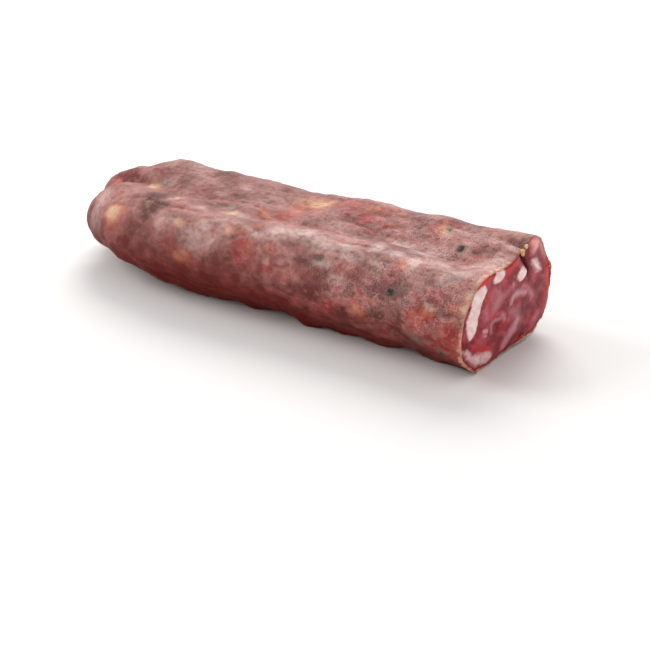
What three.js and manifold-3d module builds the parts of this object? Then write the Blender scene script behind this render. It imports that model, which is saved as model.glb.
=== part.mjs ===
// A piece of soppressata, a dry cured sausage that was pressed flat while it hung. It lies on its
// flat side. One end is a knife cut, the other is the sausage's own rounded end.
// Millimetres. +X points out of the cut end, +Y away from the front lobe, +Z up, and the origin is
// on the ground under the middle of the piece.

import * as THREE from 'three';
import Module from 'manifold-3d';
import { mergeVertices } from 'three/addons/utils/BufferGeometryUtils.js';

// Driving dimensions
const BODY_LENGTH = 110; // from the foot of the cut to where the rounded end begins
const END_LENGTH = 32.7; // the rounded end
const MIDDLE_HEIGHT = 14.2; // of the section's middle over the ground
const FOOT_TO_MIDDLE = 12.4; // across the cut, from its foot to the section's middle

// Mesh fineness
const AROUND = 88;
const BODY_RINGS = 42;
const END_RINGS = 14;
const FACE_RINGS = 8;
const FACE_RING_POWER = 0.85; // under 1, the face's rings lie closer together towards the edge
const FOLD_SIDES = 20;
const PEPPERCORN_DETAIL = 2;
const WELD_DISTANCE = 1e-4;

// Outline of the cut as pairs of y and z, from its foot round by the back, the top and the front
const CUT_OUTLINE = [
  [-11.8, 0.7], [-3.0, 0.5], [6.0, 1.2], [17.0, 2.2], [22.0, 4.6], [23.2, 8.4], [22.2, 14.6], [19.6, 21.2],
  [14.0, 29.2], [9.4, 31.8], [4.9, 30.8], [-1.0, 29.0], [-10.0, 28.1], [-17.0, 26.5], [-21.0, 21.2],
  [-22.5, 15.4], [-21.4, 9.0], [-17.8, 3.4],
];

// How the section changes along the piece: pairs of the distance from the cut and the value there
const WIDTH_SHARE = [
  [0, 1.0], [20, 0.97], [42, 1.0], [62, 0.95], [92, 1.0], [112, 0.96], [130, 0.91], [143, 0.88],
];
const HEIGHT_SHARE = [[0, 1.0], [60, 0.99], [95, 1.02], [118, 1.0], [143, 0.95]];
const DRIFT = [[0, 0.0], [40, 0.4], [62, -0.3], [92, -0.4], [112, 1.0], [130, 2.0], [143, 2.2]];
const LOBE_CHANGE = [
  [0, 0.0], [14, -0.7], [28, 0.3], [46, 0.1], [62, -1.4], [90, -0.7], [102, -1.3], [115, 2.8], [126, 0.4],
];
const VALLEY_DEPTH = [
  [0, 0.4], [10, 3.0], [24, 1.9], [45, 1.5], [65, 1.0], [92, 0.9], [122, 2.2], [143, 3.2],
];
const VALLEY_PLACE = [
  [0, -4.0], [10, -5.4], [25, -3.4], [45, -5.0], [65, -9.0], [92, -8.0], [122, -3.6], [143, -1.6],
];
const VALLEY_SPREAD = [[0, 4.0], [10, 6.0], [26, 3.6], [60, 3.4], [143, 3.6]];
const BACK_SETTLING = [[0, 0.0], [26, 1.6]];
const FRONT_TUCK = [[0, 1.2], [10, 2.6], [48, 3.0], [94, 2.4], [104, 0.8], [120, 0.0]];
const UNDERSIDE_LIFT = [[84, 0.0], [112, 0.9], [128, 1.8], [143, 2.0]];

// Which part of the section each of these moves: the back lobe by its place and spread across, the
// lobe and the valley above the first height and in full above the second, the settling and the tuck
// between the two distances from the middle
const LOBE = { place: 9.0, spread: 8.0 };
const TOP = { from: 12, full: 26 };
const BACK = { from: 0, full: 9 };
const FRONT = { from: 9, full: 17 };

// The weight of the piece presses what lies lower than this flat onto the ground
const PRESS = { depth: 1.1, reach: 4 };

// The rounded end: the section turns elliptical, the valley runs down between two blunt lobes
const ROUNDING = { from: 98, to: 128, halfWidth: 22.4, halfHeight: 14.2 };
const END_POWER = 3.1; // bluntness, as a superellipse exponent
const END_HEIGHT = 10.8; // of the tip over the ground
const END_NOTCH = { depth: 5.2, place: -1.2, spread: 3.4 };
const END_SLANT = 0.36; // how much further the back lobe reaches, for each mm across
const END_TILT = 0.16; // how much the end falls back, for each mm up

// The cut's plane: it leans over its foot and faces slightly to the front
const CUT_LEAN = THREE.MathUtils.degToRad(6);
const CUT_TURN = THREE.MathUtils.degToRad(3);
const CUT_BLEND = 34; // how far along the piece the rings turn back upright

// Relief of the skin over the coarse mince, and of the cut's meat; heights are half of the whole
// depth, and the relief fades where the end's section has shrunk to the last value
const LUMPS = { size: 10.5, height: 0.85, seed: 40 };
const KNUCKLES = { size: 5.2, height: 0.42, seed: 9 };
const WRINKLES = { size: 3.6, stretch: 5.5, height: 0.34, sharpness: 4, seed: 17 };
const CUT_RELIEF = { size: 5.5, height: 0.35, seed: 3 };
const END_RELIEF_SHARE = 0.67;

// Large odd numbers that scramble a lattice point into a random value
const HASH = { x: 374761393, y: 668265263, z: 2147483629, mix: 1274126177 };

// The fold in the cut face where the skin was tucked in, and the peppercorn caught in it
const FOLD = { y: 5.7, z: 27.0, length: 15.0, mouth: 1.7, depth: 6.0, tilt: THREE.MathUtils.degToRad(17) };
const PEPPERCORN = { radius: 2.0, y: 3.8, z: 28.6, sunk: 0.9 };

// Value at t on a smooth line through the pairs of a table
function along(table, t) {
  if (t <= table[0][0]) return table[0][1];
  for (let i = 1; i < table.length; i += 1) {
    const [t0, v0] = table[i - 1];
    const [t1, v1] = table[i];
    if (t <= t1) return THREE.MathUtils.lerp(v0, v1, THREE.MathUtils.smoothstep(t, t0, t1));
  }
  return table[table.length - 1][1];
}

const bell = (x, spread) => Math.exp(-((x / spread) ** 2));

// A repeatable random value from -1 to 1 for a lattice point
function latticeValue(i, j, k) {
  let h = Math.imul(i, HASH.x) ^ Math.imul(j, HASH.y) ^ Math.imul(k, HASH.z);
  h = Math.imul(h ^ (h >>> 13), HASH.mix);
  return ((h ^ (h >>> 16)) >>> 0) / 2 ** 31 - 1;
}

// Smooth noise from -1 to 1 over the lattice
function noise(x, y, z) {
  const [i, j, k] = [Math.floor(x), Math.floor(y), Math.floor(z)];
  const fade = (f) => f * f * (3 - 2 * f);
  const [u, v, w] = [fade(x - i), fade(y - j), fade(z - k)];
  const { lerp } = THREE.MathUtils;
  const edge = (dj, dk) => lerp(latticeValue(i, j + dj, k + dk), latticeValue(i + 1, j + dj, k + dk), u);
  return lerp(lerp(edge(0, 0), edge(1, 0), v), lerp(edge(0, 1), edge(1, 1), v), w);
}

// How far the skin stands out at a point: lumps of fat and meat, and wrinkles that run lengthwise
function relief(x, y, z) {
  const lumps = noise(x / LUMPS.size, y / LUMPS.size, z / LUMPS.size + LUMPS.seed);
  const knuckles = noise(x / KNUCKLES.size + KNUCKLES.seed, y / KNUCKLES.size, z / KNUCKLES.size);
  const long = WRINKLES.size * WRINKLES.stretch;
  const crease = 1 - Math.abs(noise(x / long, y / WRINKLES.size, z / WRINKLES.size + WRINKLES.seed));
  return lumps * LUMPS.height + knuckles * KNUCKLES.height - crease ** WRINKLES.sharpness * WRINKLES.height;
}

// The cut's outline as evenly spaced points round the section's middle
function cutOutline() {
  const corners = CUT_OUTLINE.map(([y, z]) => new THREE.Vector3(0, y, z - MIDDLE_HEIGHT));
  const curve = new THREE.CatmullRomCurve3(corners, true, 'centripetal');
  return curve.getSpacedPoints(AROUND).slice(0, AROUND);
}

// A point of the cut's outline as it is at distance t from the cut: across and up from the middle
function sectionPoint(t, outline) {
  const angle = Math.atan2(outline.z, outline.y);
  const radius = 1 / Math.hypot(Math.cos(angle) / ROUNDING.halfWidth, Math.sin(angle) / ROUNDING.halfHeight);
  const round = THREE.MathUtils.smoothstep(t, ROUNDING.from, ROUNDING.to);
  const y = THREE.MathUtils.lerp(outline.y, radius * Math.cos(angle), round) * along(WIDTH_SHARE, t);
  const z = THREE.MathUtils.lerp(outline.z, radius * Math.sin(angle), round) * along(HEIGHT_SHARE, t);
  const top = THREE.MathUtils.smoothstep(z + MIDDLE_HEIGHT, TOP.from, TOP.full);
  const lobe = along(LOBE_CHANGE, t) * bell(y - LOBE.place, LOBE.spread);
  const valley = along(VALLEY_DEPTH, t) * bell(y - along(VALLEY_PLACE, t), along(VALLEY_SPREAD, t));
  const settling = along(BACK_SETTLING, t) * THREE.MathUtils.smoothstep(y, BACK.from, BACK.full);
  const tuck = along(FRONT_TUCK, t) * THREE.MathUtils.smoothstep(-y, FRONT.from, FRONT.full);
  const press = PRESS.depth * (1 - THREE.MathUtils.smoothstep(z + MIDDLE_HEIGHT, 0, PRESS.reach));
  return [y, z + (lobe - valley) * top + (along(UNDERSIDE_LIFT, t) + tuck - settling) * (1 - top) - press];
}

// Distance by which the cut's plane leads the foot of the cut, at y and z
function cutLead(y, z) {
  return (y * Math.sin(CUT_TURN) + (z * Math.tan(CUT_LEAN))) / Math.cos(CUT_TURN);
}

// A point of the skin on the ring at distance t; share and endward are 1 and 0 along the body
function skinPoint(t, outline, share, endward) {
  const [dy, dz] = sectionPoint(t, outline);
  let y = dy * share + along(DRIFT, t);
  let z = dz * share + THREE.MathUtils.lerp(END_HEIGHT, MIDDLE_HEIGHT, share);
  const out = relief(-t, y, z) * Math.min(1, share / END_RELIEF_SHARE);
  const angle = Math.atan2(dz, dy);
  y += out * Math.cos(angle);
  z += out * Math.sin(angle);
  const lead = cutLead(y + FOOT_TO_MIDDLE, z) * (1 - THREE.MathUtils.smoothstep(t, 0, CUT_BLEND));
  const notch = END_NOTCH.depth * bell(y - END_NOTCH.place, END_NOTCH.spread);
  const x = -t + lead + endward * (notch + END_TILT * (z - END_HEIGHT) - END_SLANT * y);
  return new THREE.Vector3(x, y, Math.max(0, z));
}

// All rings of points, from the middle of the cut face out over its edge and along to the far end
function makeRings() {
  const outlines = cutOutline();
  const rings = [];
  const middle = new THREE.Vector3(0, 0, MIDDLE_HEIGHT);
  for (let r = 1; r < FACE_RINGS; r += 1) {
    const share = (r / FACE_RINGS) ** FACE_RING_POWER;
    rings.push(outlines.map((o) => facePoint(middle.clone().lerp(skinPoint(0, o, 1, 0), share))));
  }
  for (let r = 0; r <= BODY_RINGS; r += 1) {
    rings.push(outlines.map((o) => skinPoint((BODY_LENGTH * r) / BODY_RINGS, o, 1, 0)));
  }
  for (let r = 1; r < END_RINGS; r += 1) {
    const turn = (r / END_RINGS) * 0.5 * Math.PI;
    const reach = Math.sin(turn) ** (2 / END_POWER);
    const share = Math.cos(turn) ** (2 / END_POWER);
    const endward = THREE.MathUtils.smoothstep(reach, 0, 1);
    rings.push(outlines.map((o) => skinPoint(BODY_LENGTH + END_LENGTH * reach, o, share, endward)));
  }
  const tip = skinPoint(BODY_LENGTH + END_LENGTH, outlines[0], 0, 1);
  return { rings, start: facePoint(middle), tip };
}

// A point of the cut face, pushed out or in by the mince's relief
function facePoint(p) {
  const bump = noise(CUT_RELIEF.seed, p.y / CUT_RELIEF.size, p.z / CUT_RELIEF.size) * CUT_RELIEF.height;
  return new THREE.Vector3(cutLead(p.y + FOOT_TO_MIDDLE, p.z) + bump, p.y, p.z);
}

// One closed skin over the rings, with a fan at each end
function skinGeometry({ rings, start, tip }) {
  const points = [start, ...rings.flat(), tip];
  const at = (r, i) => 1 + r * AROUND + (i % AROUND);
  const faces = [];
  for (let i = 0; i < AROUND; i += 1) {
    faces.push(0, at(0, i), at(0, i + 1));
    faces.push(points.length - 1, at(rings.length - 1, i + 1), at(rings.length - 1, i));
    for (let r = 0; r + 1 < rings.length; r += 1) {
      faces.push(at(r, i), at(r + 1, i), at(r + 1, i + 1), at(r, i), at(r + 1, i + 1), at(r, i + 1));
    }
  }
  const geometry = new THREE.BufferGeometry().setFromPoints(points);
  geometry.setIndex(faces);
  return geometry;
}

// The fold: a thin flattened cone whose mouth is in the cut face, open at the top, and whose point
// is in the meat. The cone's middle is in the face, so its sizes are twice those of the fold there.
function foldGeometry() {
  const cone = new THREE.ConeGeometry(0.5, 1, FOLD_SIDES);
  cone.rotateZ(Math.PI / 2);
  cone.scale(FOLD.depth * 2, FOLD.mouth * 2, FOLD.length);
  cone.rotateX(FOLD.tilt);
  cone.translate(cutLead(FOLD.y + FOOT_TO_MIDDLE, FOLD.z), FOLD.y, FOLD.z);
  return cone;
}

function peppercornGeometry() {
  const grain = new THREE.IcosahedronGeometry(PEPPERCORN.radius, PEPPERCORN_DETAIL);
  const lead = cutLead(PEPPERCORN.y + FOOT_TO_MIDDLE, PEPPERCORN.z);
  grain.translate(lead - PEPPERCORN.radius + PEPPERCORN.sunk, PEPPERCORN.y, PEPPERCORN.z);
  return grain;
}

// Joining and cutting of closed meshes
const wasm = await Module();
wasm.setup();

function toSolid(geometry) {
  const bare = geometry.clone();
  bare.deleteAttribute('normal');
  bare.deleteAttribute('uv');
  const merged = mergeVertices(bare, WELD_DISTANCE);
  return new wasm.Manifold(new wasm.Mesh({
    numProp: 3,
    vertProperties: new Float32Array(merged.attributes.position.array),
    triVerts: new Uint32Array(merged.index.array),
  }));
}

function toGeometry(solid) {
  const mesh = solid.getMesh();
  const geometry = new THREE.BufferGeometry();
  geometry.setAttribute('position', new THREE.BufferAttribute(new Float32Array(mesh.vertProperties), 3));
  geometry.setIndex(new THREE.BufferAttribute(new Uint32Array(mesh.triVerts), 1));
  return geometry;
}

// The whole piece: skin and meat in one, the fold cut out, and the peppercorn joined on
function makeSoppressata() {
  const body = toSolid(skinGeometry(makeRings()));
  const folded = body.subtract(toSolid(foldGeometry())).add(toSolid(peppercornGeometry()));
  const geometry = toGeometry(folded);
  geometry.computeBoundingBox();
  const { min, max } = geometry.boundingBox;
  geometry.translate(-(min.x + max.x) / 2, -(min.y + max.y) / 2, -min.z);
  geometry.computeVertexNormals();
  const material = new THREE.MeshStandardMaterial({ color: 0x9a6260, roughness: 0.6, metalness: 0 });
  const mesh = new THREE.Mesh(geometry, material);
  mesh.name = 'soppressata';
  return mesh;
}

const model = new THREE.Group();
model.add(makeSoppressata());

export default model;
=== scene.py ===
# A cut piece of soppressata: a dry cured sausage that was pressed flat while it hung.
# Metres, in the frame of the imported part. Shapes are worked out in millimetres and scaled once.

import itertools
import math

import bpy
import numpy as np
from mathutils import Matrix, Vector


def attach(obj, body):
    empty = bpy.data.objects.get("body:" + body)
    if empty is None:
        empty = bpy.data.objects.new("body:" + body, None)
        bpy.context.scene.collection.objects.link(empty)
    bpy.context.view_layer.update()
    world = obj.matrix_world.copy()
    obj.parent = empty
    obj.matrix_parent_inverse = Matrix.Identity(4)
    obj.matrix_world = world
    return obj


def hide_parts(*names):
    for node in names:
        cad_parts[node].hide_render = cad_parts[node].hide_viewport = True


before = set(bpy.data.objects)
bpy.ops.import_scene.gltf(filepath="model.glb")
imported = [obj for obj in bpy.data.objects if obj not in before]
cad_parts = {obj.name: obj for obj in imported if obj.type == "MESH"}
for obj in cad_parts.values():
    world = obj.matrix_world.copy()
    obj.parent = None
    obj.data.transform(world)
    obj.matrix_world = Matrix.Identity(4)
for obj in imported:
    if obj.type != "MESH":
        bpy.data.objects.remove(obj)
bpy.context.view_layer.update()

NODE = "soppressata"
MM = 0.001

# The box's middle in the section's own frame, whose x is 0 at the foot of the cut and whose y is 0
# in the middle of the section
PLACED = np.array([-70.464, 0.409, 0.0])


# Camera

FOOT_OF_CUT = np.array([0.0, -12.4, 0.0])
EYE = np.array([153.75, -282.07, 161.14])  # mm from the foot of the cut
VIEW_RIGHT = Vector((0.81908, 0.57352, -0.01352))
VIEW_UP = Vector((-0.22987, 0.34969, 0.90823))
VIEW_BACK = Vector((0.52562, -0.7408, 0.41826))
LENS = 77.54
SENSOR = 36.0


def make_camera():
    camera = bpy.data.objects.new("camera", bpy.data.cameras.new("camera"))
    camera.data.sensor_width = SENSOR
    camera.data.lens = LENS
    camera.data.clip_start = 0.01
    turn = Matrix((VIEW_RIGHT, VIEW_UP, VIEW_BACK)).transposed()
    place = (EYE + FOOT_OF_CUT - PLACED) * MM
    camera.matrix_world = Matrix.Translation(Vector(place)) @ turn.to_4x4()
    bpy.context.scene.collection.objects.link(camera)
    bpy.context.scene.camera = camera


# Light and floor

SKY = 0.68
FLOOR_HALF = 3.0
FLOOR_DROP = 0.0002  # keeps it clear of the flat underside
FLOOR_COLOUR = (0.86, 0.855, 0.845, 1.0)
AREA_LIGHTS = [
    # name, place, target, size, watts, colour
    ("window", (-0.35, 0.75, 0.75), (0.0, 0.0, 0.01), 0.9, 10.0, (1.0, 0.985, 0.97)),
    ("side", (-0.75, -0.35, 0.55), (0.0, 0.0, 0.01), 0.6, 4.0, (1.0, 0.99, 0.98)),
]


def make_lights():
    world = bpy.data.worlds.new("sky")
    world.use_nodes = True
    sky = world.node_tree.nodes["Background"]
    sky.inputs["Color"].default_value = (1.0, 1.0, 1.0, 1.0)
    sky.inputs["Strength"].default_value = SKY
    bpy.context.scene.world = world
    for name, place, target, size, watts, colour in AREA_LIGHTS:
        lamp = bpy.data.lights.new(name, "AREA")
        lamp.shape = "DISK"
        lamp.size = size
        lamp.energy = watts
        lamp.color = colour
        holder = bpy.data.objects.new(name, lamp)
        aim = Vector(target) - Vector(place)
        holder.matrix_world = Matrix.Translation(place) @ aim.to_track_quat("-Z", "Y").to_matrix().to_4x4()
        bpy.context.scene.collection.objects.link(holder)


def make_floor():
    half = FLOOR_HALF
    corners = [(-half, -half, 0.0), (half, -half, 0.0), (half, half, 0.0), (-half, half, 0.0)]
    mesh = bpy.data.meshes.new("floor")
    mesh.from_pydata(corners, [], [(0, 1, 2, 3)])
    floor = bpy.data.objects.new("floor", mesh)
    floor.location.z = -FLOOR_DROP
    material = bpy.data.materials.new("floor")
    material.use_nodes = True
    shader = material.node_tree.nodes["Principled BSDF"]
    shader.inputs["Base Color"].default_value = FLOOR_COLOUR
    shader.inputs["Roughness"].default_value = 0.9
    shader.inputs["Specular IOR Level"].default_value = 0.1
    mesh.materials.append(material)
    bpy.context.scene.collection.objects.link(floor)


# The piece's own shape, as in the solid, in millimetres

BODY_LENGTH = 110.0
END_LENGTH = 32.7
MIDDLE_HEIGHT = 14.2
CUT_OUTLINE = [
    (-11.8, 0.7), (-3.0, 0.5), (6.0, 1.2), (17.0, 2.2), (22.0, 4.6), (23.2, 8.4), (22.2, 14.6), (19.6, 21.2),
    (14.0, 29.2), (9.4, 31.8), (4.9, 30.8), (-1.0, 29.0), (-10.0, 28.1), (-17.0, 26.5), (-21.0, 21.2),
    (-22.5, 15.4), (-21.4, 9.0), (-17.8, 3.4),
]
WIDTH_SHARE = [(0, 1.0), (20, 0.97), (42, 1.0), (62, 0.95), (92, 1.0), (112, 0.96), (130, 0.91), (143, 0.88)]
HEIGHT_SHARE = [(0, 1.0), (60, 0.99), (95, 1.02), (118, 1.0), (143, 0.95)]
DRIFT = [(0, 0.0), (40, 0.4), (62, -0.3), (92, -0.4), (112, 1.0), (130, 2.0), (143, 2.2)]
LOBE_CHANGE = [
    (0, 0.0), (14, -0.7), (28, 0.3), (46, 0.1), (62, -1.4), (90, -0.7), (102, -1.3), (115, 2.8), (126, 0.4),
]
VALLEY_DEPTH = [(0, 0.4), (10, 3.0), (24, 1.9), (45, 1.5), (65, 1.0), (92, 0.9), (122, 2.2), (143, 3.2)]
VALLEY_PLACE = [
    (0, -4.0), (10, -5.4), (25, -3.4), (45, -5.0), (65, -9.0), (92, -8.0), (122, -3.6), (143, -1.6),
]
VALLEY_SPREAD = [(0, 4.0), (10, 6.0), (26, 3.6), (60, 3.4), (143, 3.6)]
BACK_SETTLING = [(0, 0.0), (26, 1.6)]
FRONT_TUCK = [(0, 1.2), (10, 2.6), (48, 3.0), (94, 2.4), (104, 0.8), (120, 0.0)]
UNDERSIDE_LIFT = [(84, 0.0), (112, 0.9), (128, 1.8), (143, 2.0)]
LOBE_SPOT = (9.0, 8.0)
TOP_FROM, TOP_FULL = 12.0, 26.0
BACK_FROM, BACK_FULL = 0.0, 9.0
FRONT_FROM, FRONT_FULL = 9.0, 17.0
PRESS_DEPTH, PRESS_REACH = 1.1, 4.0
ROUND_FROM, ROUND_TO, ROUND_WIDTH, ROUND_HEIGHT = 98.0, 128.0, 22.4, 14.2
END_POWER = 3.1
END_HEIGHT = 10.8
NOTCH_DEPTH, NOTCH_PLACE, NOTCH_SPREAD = 5.2, -1.2, 3.4
END_SLANT = 0.36
END_TILT = 0.16
CUT_LEAN = math.radians(6)
CUT_TURN = math.radians(3)
CUT_BLEND = 34.0
END_RELIEF_SHARE = 0.67


def lattice_value(i, j, k):
    """A repeatable random value from -1 to 1 for each lattice point."""
    low = 0xFFFFFFFF
    h = ((i * 374761393) & low) ^ ((j * 668265263) & low) ^ ((k * 2147483629) & low)
    h = ((h ^ (h >> 13)) * 1274126177) & low
    return (h ^ (h >> 16)) / 2.0 ** 31 - 1.0


def fade(f):
    return f * f * (3 - 2 * f)


def noise(x, y, z):
    """Smooth noise from -1 to 1 over the lattice."""
    x, y, z = np.broadcast_arrays(x, y, z)
    floors = [np.floor(a).astype(np.int64) for a in (x, y, z)]
    parts = [fade(a - f) for a, f in zip((x, y, z), floors)]
    total = np.zeros(x.shape)
    for corner in itertools.product((0, 1), repeat=3):
        weight = np.ones(x.shape)
        for step, part in zip(corner, parts):
            weight = weight * (part if step else 1 - part)
        total += weight * lattice_value(*(f + step for f, step in zip(floors, corner)))
    return total


def smooth(value, low, high):
    return fade(np.clip((value - low) / (high - low), 0.0, 1.0))


def along(table, t):
    """Value at t on a smooth line through the pairs of a table."""
    places, values = (np.array(column, float) for column in zip(*table))
    t = np.asarray(t, float)
    k = np.clip(np.searchsorted(places, t, side="right") - 1, 0, len(places) - 2)
    return values[k] + (values[k + 1] - values[k]) * smooth(t, places[k], places[k + 1])


def bell(x, spread):
    return np.exp(-((x / spread) ** 2))


def solid_relief(x, y, z):
    """How far the solid's skin stands out: lumps of fat and meat, and wrinkles that run lengthwise."""
    lumps = noise(x / 10.5, y / 10.5, z / 10.5 + 40)
    knuckles = noise(x / 5.2 + 9, y / 5.2, z / 5.2)
    crease = 1 - np.abs(noise(x / (3.6 * 5.5), y / 3.6, z / 3.6 + 17))
    return lumps * 0.85 + knuckles * 0.42 - crease ** 4 * 0.34


def rounded(corners, fine):
    """Points on a smooth closed curve through the corners."""
    corners = np.array(corners)
    steps = np.linspace(0, 1, fine, endpoint=False)[:, None]
    line = []
    for i in range(len(corners)):
        p0, p1, p2, p3 = (corners[(i + d) % len(corners)] for d in (-1, 0, 1, 2))
        d0, d1, d2 = (math.sqrt(np.linalg.norm(b - a)) for a, b in ((p0, p1), (p1, p2), (p2, p3)))
        start = ((p1 - p0) / d0 - (p2 - p0) / (d0 + d1) + (p2 - p1) / d1) * d1
        stop = ((p2 - p1) / d1 - (p3 - p1) / (d1 + d2) + (p3 - p2) / d2) * d1
        line.append(
            p1 + start * steps + (3 * (p2 - p1) - 2 * start - stop) * steps ** 2
            + (2 * (p1 - p2) + start + stop) * steps ** 3
        )
    return np.concatenate(line)


def cut_outline(count):
    """The cut's outline as evenly spaced points round the section's middle."""
    line = rounded(CUT_OUTLINE, 60) - (0.0, MIDDLE_HEIGHT)
    line = np.vstack([line, line[:1]])
    run = np.concatenate([[0], np.cumsum(np.linalg.norm(np.diff(line, axis=0), axis=1))])
    wanted = np.linspace(0, run[-1], count, endpoint=False)
    return np.interp(wanted, run, line[:, 0]), np.interp(wanted, run, line[:, 1])


def section_point(t, oy, oz):
    """A point of the cut's outline as it is at distance t from the cut, from the section's middle."""
    angle = np.arctan2(oz, oy)
    radius = 1 / np.hypot(np.cos(angle) / ROUND_WIDTH, np.sin(angle) / ROUND_HEIGHT)
    turned = smooth(t, ROUND_FROM, ROUND_TO)
    y = (oy + (radius * np.cos(angle) - oy) * turned) * along(WIDTH_SHARE, t)
    z = (oz + (radius * np.sin(angle) - oz) * turned) * along(HEIGHT_SHARE, t)
    top = smooth(z + MIDDLE_HEIGHT, TOP_FROM, TOP_FULL)
    lobe = along(LOBE_CHANGE, t) * bell(y - LOBE_SPOT[0], LOBE_SPOT[1])
    valley = along(VALLEY_DEPTH, t) * bell(y - along(VALLEY_PLACE, t), along(VALLEY_SPREAD, t))
    settling = along(BACK_SETTLING, t) * smooth(y, BACK_FROM, BACK_FULL)
    tuck = along(FRONT_TUCK, t) * smooth(-y, FRONT_FROM, FRONT_FULL)
    press = PRESS_DEPTH * (1 - smooth(z + MIDDLE_HEIGHT, 0, PRESS_REACH))
    low = (along(UNDERSIDE_LIFT, t) + tuck - settling) * (1 - top)
    return y, z + (lobe - valley) * top + low - press


def cut_lead(y, z):
    """Distance by which the cut's plane leads the foot of the cut."""
    return ((y - FOOT_OF_CUT[1]) * math.sin(CUT_TURN) + z * math.tan(CUT_LEAN)) / math.cos(CUT_TURN)


# Relief finer than the solid's, in millimetres

SKIN_BUMPS = [
    # size, stretch along the piece, height, seed
    (5.4, 1.1, 0.24, 47),
    (2.6, 1.2, 0.18, 5),
    (1.3, 1.1, 0.11, 61),
]
SKIN_CREASES = [
    # size, stretch along the piece, depth, sharpness, seed
    (2.8, 2.0, 0.11, 6, 29),
    (1.4, 1.5, 0.08, 5, 83),
]
EDGE_ROUND = (0.75, 0.45)  # along the skin, and inwards
FOLD_LINE = [
    # y, z and half width of the fold in the cut face, from the skin inwards
    (5.0, 32.4, 0.7), (3.8, 29.9, 0.75), (3.6, 28.0, 0.65), (5.0, 26.3, 0.5), (6.6, 24.5, 0.4),
    (7.9, 22.4, 0.3), (8.4, 20.4, 0.1),
]
FOLD_DEPTH = 1.3
FOLD_EDGE = (-0.45, 0.3)  # where its side starts and ends, from its half width
FOLD_SKIN = (5.0, 0.7, 1.3, 6.5)  # across, half width, depth, and length along the skin
FOLD_HEIGHTS = (22, 28)  # above which it runs into the skin
FOLD_SHADE = 8.0  # how far from the cut its darkening, painted shade in the crevice, still reaches
SKIN_LUMPS = [
    # place, radius and height of lumps and hollows under the casing
    ((-12.1, -0.5, 27.8), 1.9, 0.45),
    ((-18.0, 4.8, 30.2), 1.2, 0.3),
    ((-119.1, -17.2, 20.2), 4.5, 0.5),
    ((-19.0, 3.8, 29.8), 3.2, 0.3),
    ((-20.8, -21.2, 21.0), 2.2, -0.35),
    ((-45.0, -20.0, 22.0), 3.5, -0.5),
    ((-12.4, -21.0, 14.5), 3.6, 0.35),
    ((-23.0, 9.0, 31.6), 6.0, -0.12),
    ((-7.5, -23.0, 16.5), 4.0, -0.1),
]


def skin_detail(x, y, z):
    out = np.zeros(np.broadcast(x, y, z).shape)
    for size, stretch, height, seed in SKIN_BUMPS:
        out += height * noise(x / (size * stretch) + seed, y / size, z / size)
    for size, stretch, depth, sharpness, seed in SKIN_CREASES:
        crease = 1 - np.abs(noise(x / (size * stretch), y / size + seed, z / size))
        out -= depth * crease ** sharpness
    for (px, py, pz), radius, height in SKIN_LUMPS:
        out += height * bell(np.sqrt((x - px) ** 2 + (y - py) ** 2 + (z - pz) ** 2), radius)
    return out


def skin_ring(t, oy, oz, share=1.0, endward=0.0):
    """Points of the skin on the ring at distance t, and how far the fine relief raises each of them.

    share and endward are 1 and 0 along the body.
    """
    dy, dz = section_point(t, oy, oz)
    y = dy * share + along(DRIFT, t)
    z = dz * share + END_HEIGHT + (MIDDLE_HEIGHT - END_HEIGHT) * share
    fading = min(1.0, share / END_RELIEF_SHARE)
    raised = skin_detail(-t, y, z) * fading
    out = solid_relief(-t, y, z) * fading + raised
    fold_y, fold_half, fold_deep, fold_long = FOLD_SKIN
    top = smooth(z, *FOLD_HEIGHTS)
    out -= fold_deep * bell(y - fold_y, fold_half) * top * (1 - smooth(t, 0, fold_long))
    along_edge, inward = EDGE_ROUND
    bent = max(0.0, 1 - t / along_edge)
    out -= inward * (1 - math.sqrt(1 - bent * bent))
    angle = np.arctan2(dz, dy)
    y = y + out * np.cos(angle)
    z = z + out * np.sin(angle)
    lead = cut_lead(y, z) * (1 - smooth(t, 0, CUT_BLEND))
    notch = NOTCH_DEPTH * bell(y - NOTCH_PLACE, NOTCH_SPREAD)
    x = -t + lead + endward * (notch + END_TILT * (z - END_HEIGHT) - END_SLANT * y)
    return np.stack([x, y, np.maximum(z, 0.0)], axis=-1), raised


# What the cut face shows: fat as corners of smooth outlines, and strokes as y, z and half width

FATS = [
    # whiteness, softness of the edge, corners
    (1.0, 0.6, [(-15.4, 25.4), (-17.6, 24.4), (-18.5, 21.8), (-19.0, 18.7), (-19.5, 15.8), (-18.4, 12.8),
                (-16.8, 11.3), (-15.1, 12.2), (-14.5, 15.0), (-14.2, 18.6), (-12.8, 21.4), (-11.4, 23.4),
                (-13.0, 24.8)]),
    (0.6, 1.1, [(-19.8, 9.4), (-17.6, 9.0), (-15.4, 6.8), (-11.0, 5.3), (-7.0, 4.4), (-5.0, 2.2),
                 (-8.0, 0.9), (-12.0, 1.9), (-16.2, 5.2)]),
    (1.0, 0.8, [(-8.0, 28.9), (-5.8, 28.9), (-5.0, 27.2), (-3.7, 25.6), (-4.0, 24.2), (-5.8, 23.4),
                (-7.7, 23.8), (-8.9, 25.0), (-8.2, 26.6)]),
    (0.9, 0.6, [(4.7, 24.5), (6.6, 23.2), (7.5, 21.3), (5.8, 20.4), (3.4, 21.0), (2.4, 22.2), (3.6, 23.6)]),
    (0.75, 1.3, [(9.2, 25.2), (11.2, 24.7), (14.0, 22.0), (15.6, 20.1), (13.6, 20.1), (10.8, 22.0)]),
]
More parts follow.
